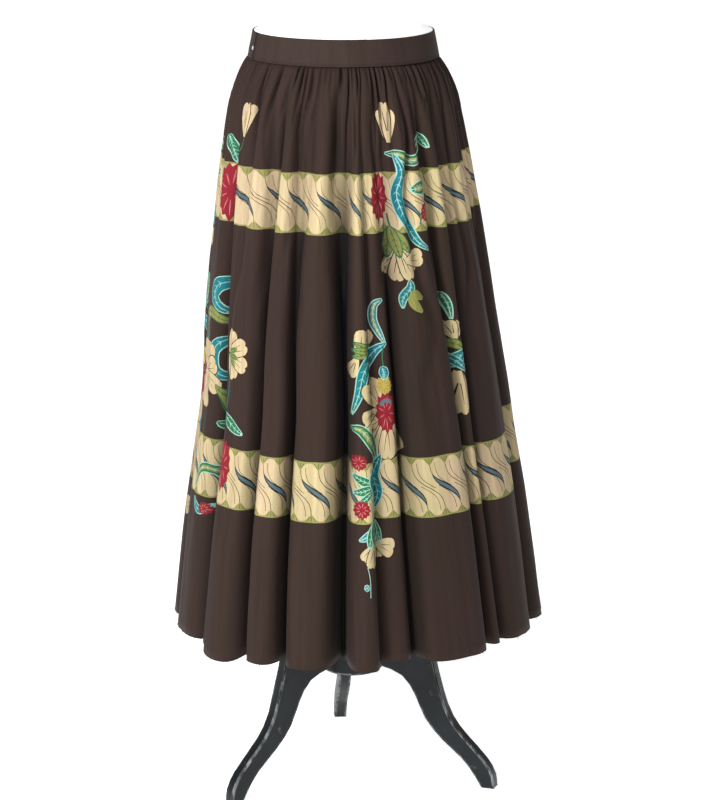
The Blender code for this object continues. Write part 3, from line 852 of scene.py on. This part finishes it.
class Surface:
    """A node material, with short calls for the nodes that it is made of."""

    def __init__(self, name, roughness, **fixed):
        self.material = bpy.data.materials.new(name)
        self.material.use_nodes = True
        self.tree = self.material.node_tree
        self.shader = self.tree.nodes["Principled BSDF"]
        self.shader.inputs["Roughness"].default_value = roughness
        for socket, value in fixed.items():
            self.shader.inputs[socket.replace("_", " ")].default_value = value

    def node(self, kind, inputs=(), **settings):
        """A node with its inputs, by name or number, fed with values or sockets."""
        made = self.tree.nodes.new("ShaderNode" + kind)
        for name, value in settings.items():
            setattr(made, name, value)
        for socket, value in dict(inputs).items():
            self.feed(made.inputs[socket], value)
        return made

    def feed(self, socket, value):
        if isinstance(value, bpy.types.NodeSocket):
            self.tree.links.new(value, socket)
        else:
            socket.default_value = value

    def stretched(self, coordinates, scale):
        return self.node("Mapping", {"Vector": coordinates, "Scale": scale}).outputs[0]

    def noise(self, coordinates, scale, detail=3.0, roughness=0.5):
        return self.node("TexNoise", {"Vector": coordinates, "Scale": scale, "Detail": detail,
                                      "Roughness": roughness}).outputs[0]

    def ranged(self, value, low, high, start=0.3, end=0.7):
        return self.node("MapRange", {"Value": value, "From Min": start, "From Max": end,
                                      "To Min": low, "To Max": high}).outputs[0]

    def maths(self, operation, first, second):
        return self.node("Math", {0: first, 1: second}, operation=operation).outputs[0]

    def blended(self, first, second, share, how="MIX"):
        return self.node("Mix", {0: share, 6: first, 7: second}, data_type="RGBA",
                         blend_type=how).outputs[2]

    def dimmed(self, colour, light):
        """The colour times a grey value: the painted shade, and the uneven tone of streaks and
        slubs.
        """
        grey = self.node("CombineColor", {"Red": light, "Green": light, "Blue": light})
        return self.blended(colour, grey.outputs[0], 1.0, "MULTIPLY")

    def bump(self, height, distance, strength=1.0, under=None):
        made = self.node("Bump", {"Height": height, "Distance": distance, "Strength": strength})
        if under is not None:
            self.tree.links.new(under, made.inputs["Normal"])
        return made.outputs[0]

    def finish(self, colour, normal=None, roughness=None):
        self.feed(self.shader.inputs["Base Color"], colour)
        if normal is not None:
            self.feed(self.shader.inputs["Normal"], normal)
        if roughness is not None:
            self.feed(self.shader.inputs["Roughness"], roughness)
        return self.material


THREAD_PITCH = 0.00055


def weave(surface, flat):
    """Plain weave: threads along and across the cloth, over and under each other."""
    ripples = []
    for way in ("X", "Y"):
        ripples.append(surface.node(
            "TexWave", {"Vector": flat, "Scale": 1.0 / THREAD_PITCH / math.tau * 0.5,
                        "Distortion": 0.6, "Detail": 1.0, "Detail Scale": 2.0},
            wave_type="BANDS", bands_direction=way).outputs[1])
    return surface.maths("ADD", *ripples)


def cotton(name, ground=None):
    """Matt cotton, printed where no plain ground is given, with painted shade where the mesh
    says that
    it lies deep in a fold or at a seam: uneven dye, slubs, weave, crinkles, a faint sheen."""
    surface = Surface(name, 0.72, Sheen_Weight=0.03, Sheen_Roughness=0.45,
                      Specular_IOR_Level=0.12)
    flat = surface.node("UVMap", uv_map="flat").outputs[0]
    colour = (linear_colour(ground) if ground else
              surface.node("VertexColor", layer_name="ink").outputs[0])
    # Painted shade from the mesh, multiplied into the colour.
    painted_shade = surface.node("Attribute", attribute_name="painted_shade").outputs["Fac"]
    colour = surface.dimmed(colour, painted_shade)
    streaks = surface.noise(surface.stretched(flat, (90.0, 4.0, 1.0)), 1.0, 4.0)
    tint = surface.noise(surface.stretched(flat, (11.0, 1.5, 1.0)), 1.0, 2.0)
    slubs = surface.noise(surface.stretched(flat, (1400.0, 60.0, 1.0)), 1.0, 2.0)
    dyes = surface.blended((1.04, 0.98, 1.02, 1.0), (1.00, 1.01, 0.92, 1.0),
                           surface.ranged(tint, 0.0, 1.0, 0.42, 0.58))
    colour = surface.blended(colour, dyes, 1.0, "MULTIPLY")
    light = surface.maths("MULTIPLY", surface.ranged(streaks, 0.80, 1.16),
                          surface.ranged(slubs, 0.93, 1.07))
    colour = surface.dimmed(colour, light)
    crinkle = surface.noise(surface.stretched(flat, (140.0, 45.0, 1.0)), 1.0, 4.0, 0.6)
    normal = surface.bump(crinkle, 0.0010, 0.6)
    normal = surface.bump(weave(surface, flat), 0.00008, 0.45, normal)
    return surface.finish(colour, normal, surface.ranged(streaks, 0.66, 0.80))


def glowing_jersey():
    """Fine off-white knit, drawn smooth over the form, with a faint painted glow from its
    emission.
    """
    # The emission is a painted glow: the jersey lights itself a little.
    surface = Surface("glowing_white_jersey", 0.85, Sheen_Weight=0.2, Sheen_Roughness=0.5,
                      Emission_Color=(1.0, 1.0, 1.0, 1.0), Emission_Strength=0.30)
    place = surface.node("TexCoord").outputs["Object"]
    rows = surface.node("TexWave", {"Vector": place, "Scale": 140.0, "Distortion": 1.5,
                                    "Detail": 2.0}, bands_direction="Z").outputs[1]
    fluff = surface.noise(place, 900.0, 2.0)
    colour = surface.blended((0.93, 0.925, 0.91, 1.0), (0.97, 0.968, 0.96, 1.0), fluff)
    return surface.finish(colour, surface.bump(rows, 0.0001, 0.5))


def painted_wood():
    """Satin black paint on wood, with a little grain, pale scuffs, and paler edges: rubbed paint
    and a painted highlight.
    """
    surface = Surface("worn_black_paint", 0.4, Specular_IOR_Level=0.20, Coat_Weight=0.04,
                      Coat_Roughness=0.3)
    place = surface.node("TexCoord").outputs["Object"]
    cloud = surface.noise(place, 14.0, 4.0)
    grain = surface.noise(surface.stretched(place, (120.0, 120.0, 18.0)), 1.0, 5.0)
    scuffs = surface.noise(place, 60.0, 6.0, 0.7)
    paint = surface.blended((0.003, 0.005, 0.006, 1.0), (0.008, 0.011, 0.013, 1.0),
                            surface.ranged(cloud, 0.0, 1.0))
    colour = surface.blended(paint, (0.16, 0.15, 0.13, 1.0),
                             surface.ranged(scuffs, 0.0, 0.5, 0.62, 0.76))
    # The edge strips are painted paler: partly rubbed paint, partly a painted highlight.
    edge_wear_and_highlight = surface.node("Attribute", attribute_name="edge_wear_and_highlight").outputs["Fac"]
    edge_patches = surface.noise(surface.stretched(place, (160.0, 160.0, 30.0)), 1.0, 4.0, 0.7)
    edge_wear_and_highlight_mask = surface.maths("MULTIPLY", edge_wear_and_highlight, surface.ranged(edge_patches, 0.05, 0.75, 0.42, 0.66))
    colour = surface.blended(colour, (0.34, 0.35, 0.36, 1.0), edge_wear_and_highlight_mask)
    return surface.finish(colour, surface.bump(grain, 0.0004, 0.35),
                          surface.ranged(scuffs, 0.30, 0.55))


def nickel():
    """Satin plated metal with an uneven tone."""
    surface = Surface("satin_nickel", 0.28, Metallic=1.0)
    place = surface.node("TexCoord").outputs["Object"]
    tone = surface.noise(place, 800.0, 3.0)
    colour = surface.blended((0.80, 0.79, 0.76, 1.0), (0.62, 0.61, 0.58, 1.0), tone)
    return surface.finish(colour, surface.bump(tone, 0.00005, 0.4),
                          surface.ranged(tone, 0.2, 0.4))


# The waistband: one strip a little longer than a turn, laid out by its sweep in degrees from
# its inner end. It lifts over that end where it comes round again.
BAND_MIDDLE = -0.0205
BAND_INNER_END = 15.0
BAND_SWEEP = 444.0
BAND_LIFT_START = 290.0
BAND_LIFT_END = 345.0
BAND_STATIONS = 520
# For the cloth's texture alone: the band's mean radius, and its height down the slope.
BAND_RADIUS = 0.118
BAND_SLOPE = 0.0346
BandEdge = namedtuple("BandEdge", "height half_width front back")
BAND_EDGES = (BandEdge(BAND_TOP, 0.1195, 0.1030, 0.0970),
              BandEdge(BAND_BOTTOM, 0.1262, 0.1095, 0.1030))


def band_point(sweep, level, inward):
    """A point of the band at a share of its height, this far in from its outer face."""
    top, bottom = BAND_EDGES
    half_width, front, back = (mix(low, high, level) for low, high in
                               zip(bottom[1:], top[1:]))
    lift = (BAND_WALL + SEAM_GAP) * smooth_share(BAND_LIFT_START, BAND_LIFT_END, sweep)
    turn = math.radians(BAND_INNER_END - sweep)
    out_x = half_width * math.sin(turn)
    out_y = -(front if math.cos(turn) > 0.0 else back) * math.cos(turn)
    keep = 1.0 - (inward - lift) / math.hypot(out_x, out_y)
    height = mix(bottom.height, top.height, level)
    return BAND_MIDDLE + out_x * keep, out_y * keep, height


def band_section():
    """The strip's closed section: outer face, folded top, inner face and folded bottom."""
    tall = BAND_TOP - BAND_BOTTOM
    turn = 0.5 * BAND_WALL / tall
    levels = [0.0, 0.02, 0.05, 0.09, 0.14, 0.22, 0.32, 0.45, 0.6, 0.75, 0.88, 1.0 - turn]
    section = [(level, 0.0) for level in levels]
    for step in range(1, 6):
        angle = math.pi * step / 6.0
        section.append((1.0 - turn * (1.0 - math.sin(angle)),
                        0.5 * BAND_WALL * (1.0 - math.cos(angle))))
    section += [(level, BAND_WALL) for level in (1.0 - turn, 0.7, 0.4, 0.15, 0.0)]
    return section


def near(value, middle, width):
    """1 at the middle, and fading to both sides of it."""
    return math.exp(-((value - middle) / width) ** 2)


def band_painted_shade_and_stitches(sweep, level, station, pucker):
    """Painted shade at the outer end's folded edge, under it and at the puckers; darker at the
    stitches.
    """
    end = near(sweep, BAND_SWEEP, 3.2)
    under = near(sweep, BAND_SWEEP - 360.0, 3.0)
    stitch = 0.5 * (station % 2) * near(level, 0.07, 0.025)
    gather = 0.35 * max(pucker, 0.0) * near(level, 0.0, 0.10)
    return max(0.10, 1.0 - 0.95 * end - 0.85 * under - stitch - gather)


def make_waistband(material):
    """The band's mesh, with its stitched lower edge a little puckered by the gathers."""
    section = band_section()
    rng = np.random.default_rng(7)
    pucker = rng.uniform(-1.0, 1.0, BAND_STATIONS + 1)
    pucker = np.convolve(pucker, (0.25, 0.5, 0.25), mode="same")
    sweeps = BAND_SWEEP * np.arange(BAND_STATIONS + 1)[:, None] / BAND_STATIONS
    uneven = lattice_noise(sweeps / 9.0, 3.0 * np.array([level for level, _ in section]), 5)
    points, flat, painted_shade = [], [], []
    for station in range(BAND_STATIONS + 1):
        sweep = BAND_SWEEP * station / BAND_STATIONS
        for side, (level, inward) in enumerate(section):
            dip = 0.0
            if inward == 0.0:
                dip = float(0.00045 * near(level, 0.0, 0.10) * pucker[station]
                            + 0.0002 * uneven[station, side]) + 0.0003 * near(level, 0.075, 0.02)
            points.append(band_point(sweep, level, inward + dip))
            flat.append((BAND_RADIUS * math.radians(sweep), level * BAND_SLOPE + 0.1 * inward))
            # The band's painted shade, with its stitch marks.
            painted_shade.append(band_painted_shade_and_stitches(sweep, level, station, pucker[station]))
    wide = len(section)
    faces = []
    for station in range(BAND_STATIONS):
        for side in range(wide):
            here, after = station * wide + side, station * wide + (side + 1) % wide
            faces.append((here, after, after + wide, here + wide))
    last = BAND_STATIONS * wide
    faces.append(tuple(range(wide))[::-1])
    faces.append(tuple(last + side for side in range(wide)))
    mesh = bpy.data.meshes.new("waistband_cloth")
    mesh.from_pydata(points, [], faces)
    loops = [corner for face in faces for corner in face]
    mesh.uv_layers.new(name="flat").data.foreach_set("uv", np.array(flat)[loops].ravel())
    mark_painted_shade(mesh, painted_shade)
    shape = bmesh.new()
    shape.from_mesh(mesh)
    bmesh.ops.recalc_face_normals(shape, faces=shape.faces)
    shape.to_mesh(mesh)
    shape.free()
    mesh.shade_smooth()
    return add_piece("waistband_cloth", mesh, material)


FLOOR_CORNERS = [(-30, -12, 0), (30, -12, 0), (30, 60, 0), (-30, 60, 0)]

# Area lights: name, place, side and power. The world is white and even.
LIGHTS = (("key", (-2.3, -3.4, 2.7), 1.0, 235.0), ("fill", (0.3, -4.2, 1.9), 1.4, 34.0))
LIGHT_TARGET = (0.0, 0.0, 0.65)
WORLD_STRENGTH = 0.30


def make_stage():
    ground = bpy.data.meshes.new("floor")
    ground.from_pydata(FLOOR_CORNERS, [], [(0, 1, 2, 3)])
    surface = Surface("pale_floor", 0.9, Specular_IOR_Level=0.1,
                      Emission_Color=(1.0, 1.0, 1.0, 1.0), Emission_Strength=0.78)
    place = surface.node("TexCoord").outputs["Object"]
    colour = surface.blended((0.93, 0.93, 0.93, 1.0), (0.95, 0.95, 0.95, 1.0),
                             surface.noise(place, 3.0))
    floor = add_piece("floor", ground, surface.finish(colour))


def make_light():
    world = bpy.data.worlds.new("studio")
    world.use_nodes = True
    background = world.node_tree.nodes["Background"]
    background.inputs["Color"].default_value = (1.0, 1.0, 1.0, 1.0)
    background.inputs["Strength"].default_value = WORLD_STRENGTH
    bpy.context.scene.world = world
    bpy.context.scene.view_settings.view_transform = "Standard"
    for name, place, side, power in LIGHTS:
        lamp = bpy.data.lights.new(name, "AREA")
        lamp.shape = "SQUARE"
        lamp.size = side
        lamp.energy = power
        light = bpy.data.objects.new(name, lamp)
        light.location = place
        aim = Vector(LIGHT_TARGET) - Vector(place)
        light.rotation_euler = aim.to_track_quat("-Z", "Y").to_euler()
        bpy.context.scene.collection.objects.link(light)


def make_camera():
    lens = bpy.data.cameras.new("camera")
    lens.lens = CAMERA_LENS
    lens.sensor_width = SENSOR_WIDTH
    lens.clip_end = 200.0
    camera = bpy.data.objects.new("camera", lens)
    camera.location = CAMERA_PLACE
    camera.rotation_euler = (math.radians(90.0 - CAMERA_PITCH), 0.0, 0.0)
    bpy.context.scene.collection.objects.link(camera)
    bpy.context.scene.camera = camera


def dress_node(name, material):
    """Gives a part of the construction, shown as it is, its material."""
    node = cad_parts[name]
    node.data.materials.clear()
    node.data.materials.append(material)


# Pale strips along the stand's edges, partly rubbed paint and partly a painted highlight: their
# width, the turn in degrees that makes an edge, and the turn under which two faces count as one.
EDGE_STRIP_WIDTH = 0.0009
EDGE_TURN = 20.0
FLAT_TURN = 1.5


def edge_strip_piece(name, material):
    """The construction's part with a narrow strip along each edge: rubbed paint and a painted
    highlight.
    """
    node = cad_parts[name]
    shape = bmesh.new()
    shape.from_mesh(node.data)
    # Faces of the edge strips are marked for rubbed paint and painted highlight.
    edge_wear_and_highlight = shape.faces.layers.float.new("edge_wear_and_highlight")
    bmesh.ops.remove_doubles(shape, verts=shape.verts, dist=1e-5)
    bmesh.ops.dissolve_limit(shape, angle_limit=math.radians(FLAT_TURN), verts=shape.verts,
                             edges=shape.edges)
    sharp = [edge for edge in shape.edges
             if len(edge.link_faces) == 2 and edge.calc_face_angle() > math.radians(EDGE_TURN)]
    edge_strips = bmesh.ops.bevel(shape, geom=sharp, offset=EDGE_STRIP_WIDTH, segments=1, profile=0.5,
                           affect="EDGES")
    for face in edge_strips["faces"]:
        face[edge_wear_and_highlight] = 1.0
    bmesh.ops.triangulate(shape, faces=shape.faces)
    mesh = bpy.data.meshes.new(name + "_wood")
    shape.to_mesh(mesh)
    shape.free()
    mesh.shade_smooth()
    piece = add_piece(name + "_wood", mesh, material)
    piece.matrix_world = node.matrix_world
    smooth = piece.modifiers.new("even faces", "WEIGHTED_NORMAL")
    smooth.keep_sharp = True
    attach(piece, "root")
    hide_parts(name)


def panel_print(cloth, phase, sprays):
    """The two printed bands, and each spray at its own distance along the panel."""
    made = Print()
    for k, (left, right, top, depth) in enumerate(band_pieces(cloth)):
        period = BAND_PERIODS[k % 2] * cloth.spread(top + 0.5 * depth)
        draw_band(made, left, right, top, depth, period, phase + BAND_SHIFT * (k // 2))
    if cloth.seam:
        made.stroke("line", [(cloth.seam, down) for down in np.linspace(0.002, 0.783, 80)],
                    SEAM_WIDTH)
    for draw, along, lower, way in sprays:
        draw(Spray(made, cloth, along, lower, way))
    return made


# Each panel's sprays: what is drawn, metres along the flat cloth, millimetres lower than it is
# written, and -1 where it is mirrored.
FRONT_SPRAYS = ((edge_spray, 0.030, 0, 1), (upper_spray, 0.620, 0, 1),
                (lower_spray, 0.536, 0, 1), (fold_spray, 0.765, 0, 1))
BACK_SPRAYS = ((lower_spray, 0.130, 6, -1), (upper_spray, 0.270, 4, 1),
               (upper_spray, 0.600, 0, -1), (lower_spray, 0.760, -4, 1))
UNDER_SPRAYS = ((upper_spray, 0.070, 2, 1), (lower_spray, 0.110, 0, -1),
                (side_spray, 0.267, 4, 1))


def make_skirt(plain):
    """The three gathered panels, and the loose threads at their hems."""
    material = cotton("printed_cotton_cloth")
    plans = (("front_panel", FRONT_VALLEYS, 11, FRONT_SPRAYS),
             ("back_panel", BACK_VALLEYS, 23, BACK_SPRAYS),
             ("under_wrap_panel", UNDER_VALLEYS, 37, UNDER_SPRAYS))
    for node, valleys, seed, sprays in plans:
        cloth = Cloth(valleys, seed, node == "under_wrap_panel", SEAM_VALLEYS.get(node))
        inked = panel_print(cloth, 0.25 * (seed % 4), sprays)
        panel = make_panel(node + "_cloth", cloth, inked, material)
        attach(panel, "root")
        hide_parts(node)
        frays = add_piece(node + "_frays", make_frays(cloth, seed), plain)
        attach(frays, "root")


def main():
    make_camera()
    make_light()
    make_stage()
    plain = cotton("plain_cotton_cloth", PLAIN_GROUND)
    make_skirt(plain)
    band = make_waistband(plain)
    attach(band, "root")
    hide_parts("waistband")
    dress_node("skirt_form", glowing_jersey())
    paint = painted_wood()
    dress_node("pole", paint)
    for name in ("hub", "leg_1", "leg_2", "leg_3"):
        edge_strip_piece(name, paint)
    metal = nickel()
    for name in ("hook", "bar"):
        dress_node(name, metal)


main()
